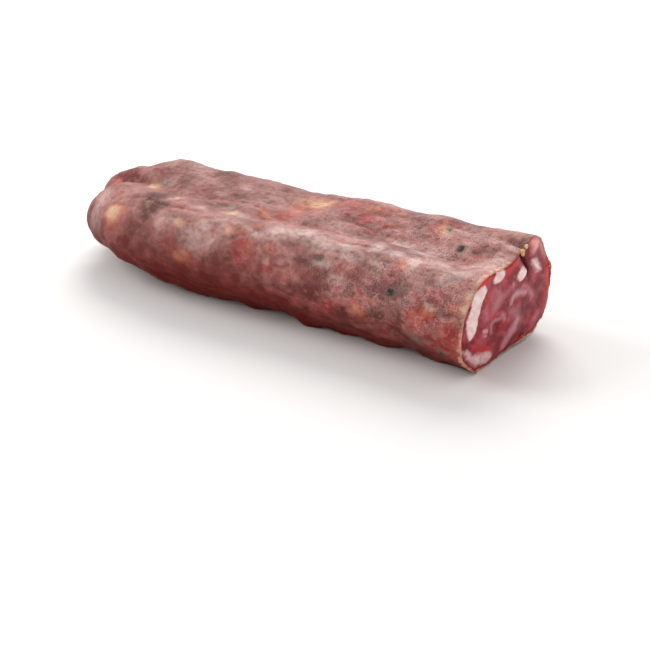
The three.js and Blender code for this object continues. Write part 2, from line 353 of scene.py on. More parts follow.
# Pale streaks of fat and mince; the small sharp ones are painted glints and the one on the apex a painted
# highlight
PALE_AND_HIGHLIGHT_STROKES = [
    # strength, softness of the edge, points
    (0.75, 1.0, [(2.0, 15.0, 0.7), (2.4, 16.3, 0.9), (3.6, 17.0, 0.9), (7.0, 16.2, 0.7), (8.8, 15.7, 0.8)]),
    (0.4, 0.8, [(7.0, 18.3, 0.4), (9.4, 16.6, 0.7), (12.6, 13.6, 0.7), (12.4, 12.0, 0.3)]),
    (0.5, 0.4, [(1.0, 21.0, 0.4), (1.6, 19.9, 0.4)]),
    (0.45, 0.6, [(-2.3, 12.0, 0.4), (-5.4, 12.5, 0.5), (-6.8, 11.8, 0.6), (-6.4, 9.4, 0.4)]),
    (0.5, 0.8, [(-1.8, 12.9, 0.6), (-0.4, 11.2, 0.6)]),
    (0.4, 1.8, [(-4.4, 18.2, 1.9), (-6.4, 17.0, 1.5)]),
    (0.6, 1.2, [(6.4, 8.4, 1.2), (4.9, 6.6, 1.6), (2.9, 4.9, 1.3)]),
    (0.5, 1.1, [(2.9, 4.9, 1.2), (1.4, 4.0, 1.6), (1.0, 2.8, 1.3)]),
    # painted glints on the moist lean
    (0.95, 0.35, [(-10.8, 11.6, 0.5), (-8.8, 10.8, 0.5)]),
    (0.6, 0.35, [(-10.4, 10.1, 0.4), (-8.8, 9.4, 0.35)]),
    # painted highlight on the apex
    (1.0, 1.6, [(8.0, 30.6, 0.7), (10.4, 29.0, 1.7), (9.8, 27.8, 1.1)]),
    (0.6, 1.2, [(13.2, 28.2, 0.9), (15.6, 25.4, 0.9), (16.9, 23.6, 0.6)]),
    (0.35, 1.5, [(3.0, 12.0, 1.1), (6.2, 9.6, 1.1)]),
    (0.35, 1.4, [(17.0, 6.2, 1.1), (15.8, 5.2, 0.7)]),
    (0.35, 1.4, [(-0.8, 19.4, 0.7), (-2.6, 18.4, 0.8), (-7.6, 22.2, 0.5)]),
    (0.3, 1.5, [(-11.3, 17.2, 1.1), (-10.3, 15.2, 1.1)]),
]
# Vivid red lean; the strokes along the rim are also a painted glow of light coming through the casing
RED_AND_GLOW_STROKES = [
    (1.0, 1.0, [(-10.2, 26.2, 0.7), (-12.2, 26.0, 1.2), (-14.4, 26.0, 1.0), (-17.0, 26.2, 0.6)]),
    (0.8, 1.0, [(-2.3, 25.2, 0.9), (-0.1, 25.9, 1.1), (1.3, 26.2, 0.7)]),
    (0.9, 1.5, [(17.2, 24.0, 0.9), (19.6, 18.8, 1.2), (21.4, 13.4, 1.4), (22.6, 8.6, 1.3), (21.6, 4.6, 0.7)]),
    (0.6, 1.1, [(-7.0, 15.4, 1.1), (-8.4, 15.0, 0.6)]),
    (0.5, 1.2, [(-11.0, 20.0, 0.7), (-9.8, 17.6, 0.7)]),
    (0.7, 1.0, [(7.7, 31.6, 0.4), (10.4, 30.9, 0.6), (12.9, 29.4, 0.4)]),
    (0.6, 1.2, [(-14.2, 8.0, 0.7), (-9.8, 5.7, 0.9), (-6.8, 5.0, 0.6)]),
    (0.45, 1.2, [(-0.8, 10.0, 1.1), (-1.6, 8.6, 0.7)]),
]
DARK_STROKES = [
    (0.5, 1.6, [(13.6, 18.6, 1.2), (16.2, 13.8, 1.8), (17.6, 9.0, 1.5)]),
    (0.45, 1.0, [(0.6, 28.8, 0.7), (3.0, 29.6, 0.7)]),
    (0.95, 0.5, [(-15.5, 10.3, 0.45), (-14.8, 9.9, 0.3)]),
    (0.75, 1.2, [(-20.2, 11.6, 1.0), (-18.8, 10.2, 1.0)]),
    (0.7, 1.2, [(7.6, 6.4, 1.1), (9.6, 4.4, 1.3), (13.0, 3.6, 1.1)]),
    (0.9, 1.0, [(7.6, 4.0, 0.7), (5.2, 3.2, 0.9), (2.0, 0.6, 0.8)]),
    (0.6, 1.7, [(12.8, 9.8, 1.6), (8.2, 10.2, 1.9), (8.4, 12.6, 1.1)]),
    (0.6, 1.5, [(-4.8, 8.2, 1.5), (-2.6, 5.3, 1.5), (-3.4, 2.6, 1.1)]),
    (0.5, 1.2, [(-4.6, 11.0, 0.9), (-3.4, 8.8, 0.9)]),
    (0.65, 1.3, [(10.8, 26.4, 1.4), (13.0, 24.2, 1.0), (15.6, 22.0, 0.7), (17.4, 20.4, 0.7)]),
    (1.0, 1.2, [(5.4, 27.2, 0.9), (6.4, 25.3, 1.2), (8.0, 23.2, 0.7), (9.2, 20.6, 0.6), (9.6, 18.8, 0.3)]),
    (0.5, 1.4, [(11.2, 17.6, 1.1), (13.6, 15.6, 1.1)]),
    (0.45, 1.2, [(-11.5, 14.4, 0.7), (-10.2, 12.8, 0.7)]),
    (0.45, 1.3, [(-3.6, 15.3, 0.7), (0.6, 12.6, 0.7)]),
    (0.4, 1.2, [(8.4, 14.3, 0.7), (11.2, 13.0, 0.6)]),
]


def stroke_distance(y, z, stroke):
    """Signed distance from a stroke: negative inside it."""
    nearest = np.full(np.shape(y), 1e9)
    for (y0, z0, r0), (y1, z1, r1) in zip(stroke, stroke[1:]):
        length = (y1 - y0) ** 2 + (z1 - z0) ** 2
        s = np.clip(((y - y0) * (y1 - y0) + (z - z0) * (z1 - z0)) / length, 0, 1)
        gap = np.hypot(y - y0 - s * (y1 - y0), z - z0 - s * (z1 - z0)) - r0 - s * (r1 - r0)
        nearest = np.minimum(nearest, gap)
    return nearest


def outline_distance(y, z, outline):
    """Signed distance from a closed outline: negative inside it."""
    nearest = np.full(np.shape(y), 1e9)
    inside = np.zeros(np.shape(y), bool)
    for (y0, z0), (y1, z1) in zip(outline, np.roll(outline, -1, axis=0)):
        s = np.clip(((y - y0) * (y1 - y0) + (z - z0) * (z1 - z0)) / ((y1 - y0) ** 2 + (z1 - z0) ** 2), 0, 1)
        nearest = np.minimum(nearest, np.hypot(y - y0 - s * (y1 - y0), z - z0 - s * (z1 - z0)))
        crosses = (z0 > z) != (z1 > z)
        rise = z1 - z0 if z1 != z0 else 1e-9
        inside ^= crosses & (y < y0 + (z - z0) * (y1 - y0) / rise)
    return np.where(inside, -nearest, nearest)


def cover(y, z, strokes):
    """The strongest of some strokes at each point, from 0 to 1."""
    best = np.zeros(np.shape(y))
    for strength, softness, points in strokes:
        best = np.maximum(best, strength * (1 - smooth(stroke_distance(y, z, points), -softness, softness)))
    return best


# What shows through or lies on the skin: millimetres from the cut, degrees round the section from the
# back by the top, size across, stretch along the piece, and strength

SKIN_PATCHES = {
    "film": [
        (3, 78, 1.5, 1, 0.6), (3, 94, 2.5, 1, 0.6), (3, 117, 3, 1, 0.6), (8, 113, 3, 1.5, 0.8),
        (6, 138, 3, 1, 0.6), (9, 144, 2.5, 1, 0.6), (14, 151, 3.5, 1.2, 0.2), (49, 138, 4, 2, 0.4),
        (79, 154, 5, 1.2, 0.4), (76, 147, 3.5, 1.5, 0.5), (84, 160, 4, 1.2, 0.5), (97, 153, 3, 1.5, 0.4),
        (10, 164, 0.6, 2.5, 0.7), (13, 129, 4, 1, 0.75), (18, 138, 3, 1, 1), (20, 117, 4, 1, 0.9),
        (21, 96, 1.5, 2.5, 0.6), (25, 133, 1.5, 2, 0.9), (27, 104, 1.5, 2.5, 0.9), (28, 146, 1, 2.5, 0.6),
        (30, 131, 2.5, 1, 1), (32, 144, 1.5, 1.5, 0.5), (37, 146, 1.5, 2, 0.6), (37, 163, 1.5, 1.5, 0.4),
        (38, 139, 2.5, 1.5, 0.8), (42, 154, 1.5, 1.5, 0.5), (43, 156, 1, 2.5, 0.6), (44, 143, 2.5, 2, 0.8),
        (48, 105, 2, 2.5, 0.5), (52, 133, 4, 1.2, 0.8), (59, 138, 3, 2, 0.8), (66, 144, 1.5, 2.5, 0.8),
        (75, 128, 2.5, 1, 0.5), (79, 142, 1, 2.5, 0.5), (82, 117, 2, 1, 0.5), (82, 148, 2, 1.5, 0.8),
        (83, 83, 2.5, 1, 0.4), (88, 133, 2, 1, 0.5), (87, 155, 1.5, 1, 0.5), (105, 69, 2.5, 2, 0.3),
        (109, 99, 2.5, 1, 0.4), (115, 72, 3, 1, 0.4), (127, 149, 4, 1, 0.7), (127, 164, 5, 1, 0.35),
        # on the back
        (12, 20, 4, 1.5, 0.6), (30, 45, 3, 2, 0.7), (52, 15, 4, 1.5, 0.5), (68, 40, 3, 2, 0.6),
        (96, 25, 5, 1.5, 0.5), (118, 40, 4, 1.5, 0.5),
    ],
    "red": [
        (2, 182, 3.5, 1, 1), (5, 194, 3.5, 1, 0.7), (9, 199, 3, 1.2, 0.5), (6, 70, 2, 1.5, 0.3),
        (8, 154, 2.5, 1.5, 0.4), (8, 184, 3, 1.5, 0.5), (11, 176, 3.5, 1.2, 0.6),
        (10, 90, 2, 1.5, 0.3), (10, 171, 2.5, 1.6, 0.95), (14, 175, 3, 1.5, 0.6), (20, 68, 3, 1.2, 0.6),
        (21, 145, 3, 0.6, 0.7), (21, 156, 2.5, 1, 0.5), (23, 76, 4, 0.6, 0.7), (32, 159, 2, 1.5, 0.5),
        (35, 85, 2, 2, 0.6), (38, 183, 3, 1.5, 0.6), (42, 81, 3.5, 1.2, 0.9), (49, 73, 3.5, 1.2, 0.8),
        (50, 148, 1.5, 1.6, 0.7), (58, 168, 2, 2.5, 0.5), (64, 109, 3.5, 1.2, 0.7), (68, 165, 3.5, 1, 0.6),
        (69, 154, 2.5, 1.6, 0.6), (78, 150, 2, 1.6, 0.7), (82, 163, 2, 2, 0.5), (94, 101, 4, 1.1, 0.5),
        (94, 170, 2, 2, 0.5), (111, 163, 3, 1.2, 0.5), (121, 101, 3.5, 1.2, 0.8),
        (127, 94, 4.5, 1.4, 1), (130, 87, 4, 1.4, 1), (134, 84, 3.5, 1.2, 0.9),
        # on the back
        (18, 350, 3, 1.4, 0.7), (40, 30, 3.5, 1.2, 0.6), (62, 350, 3, 1.5, 0.5), (85, 50, 3, 1.5, 0.6),
        (108, 10, 3.5, 1.2, 0.6),
    ],
    "dark": [
        (5, 167, 1.5, 1, 0.5), (14, 193, 3.5, 1.5, 0.5), (15, 106, 2.5, 1.5, 0.35), (19, 158, 3, 1.6, 0.7),
        (21, 170, 2, 1.6, 0.5), (23, 181, 3.5, 1, 0.6), (25, 164, 2.5, 2, 0.5), (28, 78, 2.5, 1.5, 0.4),
        (34, 188, 3, 1.6, 0.7), (40, 162, 2.5, 1.6, 0.6), (44, 152, 1, 2, 0.9), (44, 175, 3.5, 1.6, 0.6),
        (49, 157, 1.5, 2.5, 0.6), (73, 61, 4.5, 1, 0.5), (81, 118, 2, 1, 0.5), (86, 124, 4, 0.8, 0.4),
        (89, 82, 3, 1, 0.5), (95, 65, 3, 1.6, 0.5), (103, 142, 4.6, 1.2, 1), (105, 134, 4.6, 1.2, 1),
        (108, 168, 2.5, 1.6, 0.6), (82, 94, 4, 1.4, 0.5), (104, 96, 4.5, 1.4, 0.5),
        (110, 94, 4, 1.2, 0.4),
        # on the back
        (25, 10, 3, 1.6, 0.6), (56, 48, 3, 1.2, 0.5), (76, 5, 3, 1.6, 0.5), (124, 20, 3.5, 1.4, 0.5),
    ],
    "orange": [
        (0, 160, 3, 0.8, 0.7), (0, 194, 3.5, 0.8, 0.6), (3, 163, 2.5, 1, 0.6), (6, 153, 1.5, 1, 0.3),
        (10, 168, 2, 1.4, 0.6), (13, 177, 3, 1.4, 0.4), (17, 186, 2.5, 1.6, 0.5),
        (20, 142, 2.8, 1, 0.9), (21, 77, 3.5, 1, 0.8),
        (26, 172, 1, 2, 0.4), (30, 181, 3.5, 1, 0.65), (42, 69, 2, 2, 0.7), (60, 74, 3.5, 2, 0.9),
        (60, 154, 2.2, 1.6, 0.4), (63, 91, 4, 1, 0.6), (67, 135, 3, 0.6, 0.5), (67, 155, 1.6, 1.5, 0.5),
        (70, 116, 2, 1.6, 0.7), (73, 147, 1.6, 2.5, 0.9), (79, 158, 2.5, 1.5, 0.35), (88, 175, 3.2, 1.2, 0.8),
        (118, 160, 4.6, 1, 1), (114, 155, 2, 1.6, 0.7), (134, 99, 3.4, 1, 0.9),
        # on the back
        (8, 40, 2.5, 1.4, 0.6), (35, 5, 3, 1.4, 0.7), (58, 30, 3, 1.2, 0.8), (90, 5, 2.5, 1.5, 0.6),
        (112, 45, 3, 1.2, 0.7), (128, 5, 3, 1.2, 0.7),
    ],
    "cream": [
        (1, 161, 1.5, 1, 0.9), (1, 153, 1.6, 1, 0.9), (9, 166, 1.2, 1.6, 0.8), (18, 138, 2.2, 1, 1),
        (20, 78, 2, 1, 0.9), (25, 80, 1.3, 1, 0.6), (34, 99, 2, 1, 0.4), (35, 80, 1.8, 1, 0.5),
        (53, 140, 2, 1.2, 0.5), (60, 73, 4, 1.5, 0.8), (60, 164, 1.6, 1, 0.5), (71, 142, 1.5, 1.5, 0.4),
        (78, 156, 2, 1, 0.5), (79, 128, 2.5, 1.3, 0.9), (91, 151, 1.8, 1.3, 0.8), (99, 128, 2.5, 1.2, 0.9),
        (106, 143, 2, 1.5, 0.4), (114, 109, 2.2, 1.2, 0.8), (118, 158, 3, 1.1, 1), (84, 147, 2, 1.3, 0.6),
        # on the back
        (34, 4, 1.8, 1.2, 0.7), (57, 31, 2, 1.2, 0.8), (80, 22, 1.6, 1.5, 0.7), (100, 50, 1.8, 1.2, 0.7),
        (127, 6, 1.8, 1.2, 0.8), (16, 52, 1.4, 1.2, 0.6),
    ],
    "mould": [
        (6, 201, 2.3, 0.6, 1), (13, 193, 3.2, 1.2, 0.5), (14, 93, 1.6, 1, 1), (6, 167, 1.2, 1.5, 0.4),
        (18, 158, 2, 1.6, 0.35), (20, 75, 2, 1, 1), (21, 162, 1.9, 1.1, 0.95), (44, 152, 1, 2, 0.5),
        (82, 116, 1.5, 1, 0.4),
        # on the back
        (48, 22, 1.6, 1.2, 0.9), (22, 35, 1.5, 1, 0.9),
    ],
}

# How pale the dry casing is at the cut's edge, by degrees round the section; from about 100 to 140 degrees,
# along the top of the cut, it is also a painted highlight
DRY_EDGE_AND_HIGHLIGHT = [
    (0, 0.2), (15, 0.6), (25, 0.1), (80, 0.1), (100, 0.4), (118, 1.0), (136, 0.9), (148, 0.3), (160, 0.6),
    (172, 0.4), (190, 0.7), (210, 0.8), (240, 0.5), (270, 0.3), (300, 0.4), (325, 0.5), (345, 0.2),
    (360, 0.2),
]

MM_PER_DEGREE = 0.3  # along the skin, about
PATCH_FADE = 1.5  # in patch sizes, where a patch has faded out
PATCH_REACH = 2.5  # in patch sizes, beyond which it isn't worked out
SHOULDER = (142, 15)  # where the skin turns from its top to its front, and how broad that is, in degrees


# Body mesh

AROUND = 320
FACE_RINGS = 84
FACE_RING_POWER = 0.85
EDGE_PLACES = [0.0, 0.12, 0.26, 0.42, 0.62, 0.88, 1.2, 1.6, 2.1]
BODY_RINGS = 168
END_RINGS = 40
FACE_RELIEF = [
    # height, size and seed
    (0.28, 5.5, 3.0),
    (0.05, 1.9, 7.0),
    (0.03, 0.9, 13.0),
]
FAT_PROUD = 0.16
FAT_SIDE = (-0.4, 0.3)  # where the side of proud fat starts and ends, from its outline
FAT_FINE = 5  # steps between an outline's corners
STROKE_PROUD = 0.10
EDGE_DOME = (1.3, 0.5)  # over what width the cut meat falls back at its edge, and how far
DOME_SHARE = 0.999  # of a full quarter round, so that its rim isn't quite upright


def face_rings(rim):
    """Rings of the cut face from its middle out, and how far each point lies from the rim."""
    rings = []
    gaps = []
    middle = np.array([0.0, 0.0, MIDDLE_HEIGHT])
    for r in range(1, FACE_RINGS):
        share = (r / FACE_RINGS) ** FACE_RING_POWER
        rings.append(middle + (rim - middle) * share)
        gaps.append(np.hypot(rim[:, 1], rim[:, 2] - MIDDLE_HEIGHT) * (1 - share))
    points = np.concatenate([[middle], np.concatenate(rings)])
    gaps = np.concatenate([[MIDDLE_HEIGHT], np.concatenate(gaps)])
    return points, gaps


def fold_amount(y, z):
    return 1 - smooth(stroke_distance(y, z, FOLD_LINE), *FOLD_EDGE)


def fat_distances(y, z):
    """Signed distance to each piece of fat, with a slightly wavy edge."""
    wave_y, wave_z = (
        0.3 * noise(y / 1.8, z / 1.5, seed) + 0.15 * noise(y / 0.7, z / 0.7, seed) for seed in (3.0, 11.0)
    )
    wavy_y, wavy_z = y + wave_y, z + wave_z
    return [outline_distance(wavy_y, wavy_z, rounded(corners, FAT_FINE)) for _, _, corners in FATS]


def fat_cover(gaps):
    """How much fat shows, from 0 to 1, from the distances to each piece of fat."""
    shares = [white * (1 - smooth(gap, -soft, soft)) for (white, soft, _), gap in zip(FATS, gaps)]
    return np.max(shares, axis=0)


def shape_face(points, gaps):
    """The cut face pushed out and in: soft mince relief, proud fat, a domed edge and the fold."""
    y, z = points[:, 1], points[:, 2]
    out = sum(height * noise(seed, y / size, z / size) for height, size, seed in FACE_RELIEF)
    out += FAT_PROUD * (1 - smooth(np.min(fat_distances(y, z), axis=0), *FAT_SIDE))
    out += STROKE_PROUD * (cover(y, z, PALE_AND_HIGHLIGHT_STROKES) - cover(y, z, DARK_STROKES))
    width, depth = EDGE_DOME
    fall = np.clip(1 - gaps / width, 0, 1)
    out -= depth * (1 - np.sqrt(1 - fall ** 2 * DOME_SHARE))
    out -= FOLD_DEPTH * fold_amount(y, z)
    return np.stack([cut_lead(y, z) + out, y, z], axis=-1)


def patch_cover(points, run, degrees, patches, seed):
    """Coverage by soft-edged patches, from 0 to 1, each round the point nearest to its place."""
    x, y, z = points.T
    ragged = 0.2 * noise(x / 1.9 + seed, y / 1.7, z / 1.7) + 0.3 * noise(x / 4.4, y / 3.6 + seed, z / 3.6)
    best = np.zeros(len(points))
    for away, angle, size, stretch, strength in patches:
        turn = (degrees - angle + 180) % 360 - 180
        place = points[np.argmin((run - away) ** 2 + (MM_PER_DEGREE * turn) ** 2)]
        near = np.abs(x - place[0]) < PATCH_REACH * size * stretch
        offset = points[near] - place
        gap = np.sqrt((offset[:, 0] / stretch) ** 2 + offset[:, 1] ** 2 + offset[:, 2] ** 2) / size
        best[near] = np.maximum(best[near], strength * (1 - smooth(gap + ragged[near], 0.0, PATCH_FADE)))
    return best


def section_degrees(y, height):
    """Degrees round the section from the back by the top, with height from the section's middle."""
    return np.degrees(np.arctan2(height, y)) % 360


def make_body():
    """One closed mesh: the cut face, the skin and the rounded end."""
    oy, oz = cut_outline(AROUND)
    places = EDGE_PLACES + list(np.linspace(EDGE_PLACES[-1], BODY_LENGTH, BODY_RINGS + 1)[1:])
    skin = [skin_ring(t, oy, oz) for t in places]
    for r in range(1, END_RINGS):
        turn = r / END_RINGS * math.pi / 2
        reach = math.sin(turn) ** (2 / END_POWER)
        share = math.cos(turn) ** (2 / END_POWER)
        skin.append(skin_ring(BODY_LENGTH + END_LENGTH * reach, oy, oz, share, float(fade(reach))))
    skin.append(skin_ring(BODY_LENGTH + END_LENGTH, oy[:1], oz[:1], 0.0, 1.0))
    flat, gaps = face_rings(skin[0][0])
    face = shape_face(flat, gaps)
    points = np.concatenate([face] + [ring for ring, _ in skin])
    raised = np.concatenate([np.zeros(len(face))] + [heights for _, heights in skin])

    ring_count = FACE_RINGS - 1 + len(skin) - 1
    i = np.arange(AROUND)
    after = (i + 1) % AROUND
    starts = 1 + np.arange(ring_count) * AROUND
    quads = np.stack([
        starts[:-1, None] + i, starts[1:, None] + i, starts[1:, None] + after, starts[:-1, None] + after,
    ], axis=-1).reshape(-1, 4)
    last = len(points) - 1
    fans = [(0, int(a), int(b)) for a, b in zip(starts[0] + i, starts[0] + after)]
    ends = [(last, int(b), int(a)) for a, b in zip(starts[-1] + i, starts[-1] + after)]
    mesh = bpy.data.meshes.new("body")
    mesh.from_pydata(points.tolist(), [], fans + quads.tolist() + ends)
    face_quads = (FACE_RINGS - 1) * AROUND
    slots = np.ones(len(mesh.polygons), np.int32)
    slots[:AROUND + face_quads] = 0
    mesh.polygons.foreach_set("material_index", slots)

    y, z = points[:, 1], points[:, 2]
    run = cut_lead(y, z) * (1 - smooth(-points[:, 0], 0, CUT_BLEND)) - points[:, 0]
    run[:len(face)] = -BODY_LENGTH  # so that no patch is placed on the cut face
    degrees = section_degrees(y - along(DRIFT, run), z - MIDDLE_HEIGHT)
    face_y, face_z = (np.concatenate([flat[:, k], points[len(flat):, k]]) for k in (1, 2))
    attributes = {
        "fat": fat_cover(fat_distances(face_y, face_z)),
        "pale": cover(face_y, face_z, PALE_AND_HIGHLIGHT_STROKES),
        "deep": cover(face_y, face_z, DARK_STROKES),
        "red_and_glow": cover(face_y, face_z, RED_AND_GLOW_STROKES),
        "fold": fold_amount(face_y, face_z) * (points[:, 0] > -FOLD_SHADE),
        "rim": np.concatenate([gaps, np.zeros(len(points) - len(gaps))]),
        "from_cut": np.maximum(0, cut_lead(y, z) - points[:, 0]),
        "raised": raised,
        "dry_edge_and_highlight": along(DRY_EDGE_AND_HIGHLIGHT, degrees),
        "shoulder": bell(degrees - SHOULDER[0], SHOULDER[1]),
    }
    for seed, (name, patches) in enumerate(SKIN_PATCHES.items()):
        attributes["patch_" + name] = patch_cover(points, run, degrees, patches, 7.0 * seed)
    for name, values in attributes.items():
        layer = mesh.attributes.new(name, "FLOAT", "POINT")
        layer.data.foreach_set("value", np.asarray(values, np.float32))
    return finish_piece("body", mesh, points)


# The dried casing's edge round the cut, peeled back along the front, by degrees round the section

LIP_AROUND = 320
LIP_THICK = 0.2
LIP_SUNK = 0.35  # how deep it lies where it doesn't stand out
LIP_ROOT = 0.45  # how far back over the skin it starts
LIP_FLOOR_GAP = 0.02  # keeps its two sides apart where the ground flattens it
LIP_SECTION = [
    # share of the way from root to edge, and of the thickness outwards
    (0.0, -0.9), (0.0, -0.5), (0.35, 0.1), (0.7, 0.45), (1.0, 0.35), (1.0, -0.2), (0.7, -0.6), (0.35, -1.0),
]
LIP_TOP_LEVEL = 0.5  # just above every level of the section
LIP_NARROWING = 0.5  # share of the thickness lost at the edge
LIP_FRAYS = [
    # share of the reach, number round the cut, and seeds
    (0.55, 90, 3.0, 1.0),
    (0.35, 260, 5.0, 2.0),
]
LIP_REACH = [
    # degrees, and how far the edge stands out over the cut
    (0, 0.05), (15, 0.3), (24, 0.0), (80, 0.0), (98, 0.1), (108, 0.0), (120, 0.15), (136, 0.1), (150, 0.0),
    (172, 0.1), (190, 0.4), (206, 0.6), (222, 0.5), (238, 0.2), (262, 0.05), (290, 0.1), (309, 0.3),
    (326, 0.25), (342, 0.0), (360, 0.05),
]
LIP_PEEL = [
    # degrees, and how far the edge stands away from the skin
    (0, 0.0), (176, 0.0), (192, 0.25), (208, 0.4), (226, 0.2), (240, 0.0), (300, 0.0), (312, 0.15),
    (330, 0.0), (360, 0.0),
]


def make_lip():
    """A thin closed strip: its section is a flat loop from the skin to its frayed edge."""
    oy, oz = cut_outline(LIP_AROUND)
    rim, _ = skin_ring(EDGE_ROUND[0], oy, oz)
    place = np.arange(LIP_AROUND) / LIP_AROUND
    degrees = section_degrees(oy, oz)
    reach = along(LIP_REACH, degrees)
    peel = along(LIP_PEEL, degrees)
    fray = 1 + sum(share * noise(place * number, *seeds) for share, number, *seeds in LIP_FRAYS)
    reach = reach * fray
    sunk = LIP_SUNK * (1 - smooth(reach, 0.02, 0.2))
    ahead = np.roll(rim, -1, axis=0) - np.roll(rim, 1, axis=0)
    out = np.stack([ahead[:, 2], -ahead[:, 1]], axis=-1)
    out = out / np.linalg.norm(out, axis=1, keepdims=True)
    lead = cut_lead(rim[:, 1], rim[:, 2])
    loops = []
    for way, level in LIP_SECTION:
        x = lead - LIP_ROOT + (LIP_ROOT + reach) * way
        lift = level * LIP_THICK * (1 - LIP_NARROWING * way) + peel * way ** 2 * fray - sunk
        across = rim[:, 1:] + out * lift[:, None]
        lowest = LIP_FLOOR_GAP * (LIP_TOP_LEVEL - level)
        loops.append(np.stack([x, across[:, 0], np.maximum(across[:, 1], lowest)], axis=-1))
    points = np.concatenate(loops)
    faces = []
    for k in range(len(LIP_SECTION)):
        a, b = k * LIP_AROUND, (k + 1) % len(LIP_SECTION) * LIP_AROUND
        for i in range(LIP_AROUND):
            j = (i + 1) % LIP_AROUND
            faces.append((a + i, a + j, b + j, b + i))
    mesh = bpy.data.meshes.new("casing_edge")
    mesh.from_pydata(points.tolist(), [], faces)
    return finish_piece("casing_edge", mesh, points)


# Loose flakes of casing at the cut: place as y and z, size along and across, turn and curl

FLAKES = [
    ((-1.8, 27.5), 1.6, 0.8, 0.3, 0.6),
    ((-0.4, 27.8), 1.1, 0.7, 0.6, 0.7),
    ((19.1, 19.3), 1.3, 1.0, -0.4, 0.5),
    ((10.6, 1.9), 2.6, 0.9, 0.2, 0.5),
    ((-6.6, 27.1), 1.8, 0.6, 0.1, 0.4),
]
FLAKE_GRID = (7, 5)
FLAKE_THICK = 0.12
FLAKE_RAGGED = 0.3  # how much its outline varies
FLAKE_POINTED = 0.4  # how much narrower its ends are
FLAKE_FLATTER = 0.4  # share of its turn that shows upwards
FLAKE_AHEAD = 0.1  # from the cut's plane


def make_flakes():
    """Curled thin shells, each closed, in one mesh."""
    columns, rows = FLAKE_GRID
    points = []
    faces = []
    for n, ((y, z), length, width, turn, curl) in enumerate(FLAKES):
        start = len(points)
        for side in (0, 1):
            for r, c in itertools.product(range(rows), range(columns)):
                u = c / (columns - 1) * 2 - 1
                v = r / (rows - 1) * 2 - 1
                ragged = 1 + FLAKE_RAGGED * float(noise(u * 1.7 + n * 5, v * 1.7, 2.0))
                along_it = u * length / 2 * ragged
                across = v * width / 2 * ragged * (1 - FLAKE_POINTED * u * u)
                lift = curl * (0.5 + v) ** 2 * width / 2 + side * FLAKE_THICK
                fy = y + along_it * math.cos(turn) - lift * math.sin(turn)
                fz = z + along_it * math.sin(turn) * FLAKE_FLATTER + lift * math.cos(turn)
                points.append((float(cut_lead(fy, fz)) + across + FLAKE_AHEAD, fy, fz))
        per = rows * columns

        def at(side, r, c):
            return start + side * per + r * columns + c

        for r, c in itertools.product(range(rows - 1), range(columns - 1)):
            faces.append((at(0, r, c), at(0, r, c + 1), at(0, r + 1, c + 1), at(0, r + 1, c)))
            faces.append((at(1, r, c), at(1, r + 1, c), at(1, r + 1, c + 1), at(1, r, c + 1)))
        border = [(0, c) for c in range(columns)] + [(r, columns - 1) for r in range(1, rows)]
        border += [(rows - 1, c) for c in range(columns - 2, -1, -1)]
        border += [(r, 0) for r in range(rows - 2, 0, -1)]
        for (r0, c0), (r1, c1) in zip(border, border[1:] + border[:1]):
            faces.append((at(0, r0, c0), at(1, r0, c0), at(1, r1, c1), at(0, r1, c1)))
    points = np.array(points)
    mesh = bpy.data.meshes.new("casing_flakes")
    mesh.from_pydata(points.tolist(), [], faces)
    mesh.validate()
    return finish_piece("casing_flakes", mesh, points)


# Broken peppercorns in the fold: place as x from the cut's plane, y and z, half sizes, and seed

PEPPER_BITS = [
    ((0.1, 3.8, 28.6), (0.9, 0.8, 1.0), 0.0),
    ((0.2, 5.1, 29.9), (0.7, 0.7, 0.6), 2.0),
]
PEPPER_OPEN = np.array([0.72, -0.6, 0.35])  # the way its broken side faces
PEPPER_SIDES, PEPPER_RINGS = 40, 24
PEPPER_WRINKLE = 0.12
PEPPER_BREAK = (0.45, 0.08)  # where the broken side lies, in half sizes, and its unevenness
PEPPER_DISH = 0.42  # the broken side's own middle


def make_pepper():
    """Lumpy closed grains, broken open towards the cut; the attribute says where the shell is."""
    points = []
    faces = []
    shell = []
    level, uneven = PEPPER_BREAK
    for (ahead, y, z), (half_x, half_y, half_z), seed in PEPPER_BITS:
        start = len(points)
        lead = float(cut_lead(y, z))
        for r in range(1, PEPPER_RINGS):
            tilt = math.pi * r / PEPPER_RINGS
            for i in range(PEPPER_SIDES):
                turn = 2 * math.pi * i / PEPPER_SIDES
                ring = math.sin(tilt)
                d = np.array([math.cos(tilt), ring * math.cos(turn), ring * math.sin(turn)])
                bump = 1 + PEPPER_WRINKLE * float(noise(d[0] * 3 + seed, d[1] * 3, d[2] * 3))
                broken = level + uneven * float(noise(d[1] * 4, d[2] * 4, seed))
                x = lead + ahead + half_x * min(d[0] * bump, broken)
                points.append((x, y + half_y * d[1] * bump, z + half_z * d[2] * bump))
                shell.append(1 - float(smooth(d @ PEPPER_OPEN, 0.1, 0.4)))
        front, back = len(points), len(points) + 1
        points += [(lead + ahead + half_x * PEPPER_DISH, y, z), (lead + ahead - half_x, y, z)]
        shell += [0.0, 1.0]
        for i in range(PEPPER_SIDES):
            j = (i + 1) % PEPPER_SIDES
            faces.append((front, start + i, start + j))
            last = start + (PEPPER_RINGS - 2) * PEPPER_SIDES
            faces.append((back, last + j, last + i))
            for r in range(PEPPER_RINGS - 2):
                a, b = start + r * PEPPER_SIDES, start + (r + 1) * PEPPER_SIDES
                faces.append((a + i, b + i, b + j, a + j))
    points = np.array(points)
    mesh = bpy.data.meshes.new("peppercorn")
    mesh.from_pydata(points.tolist(), [], faces)
    layer = mesh.attributes.new("shell", "FLOAT", "POINT")
    layer.data.foreach_set("value", np.array(shell, np.float32))
    return finish_piece("peppercorn", mesh, points)


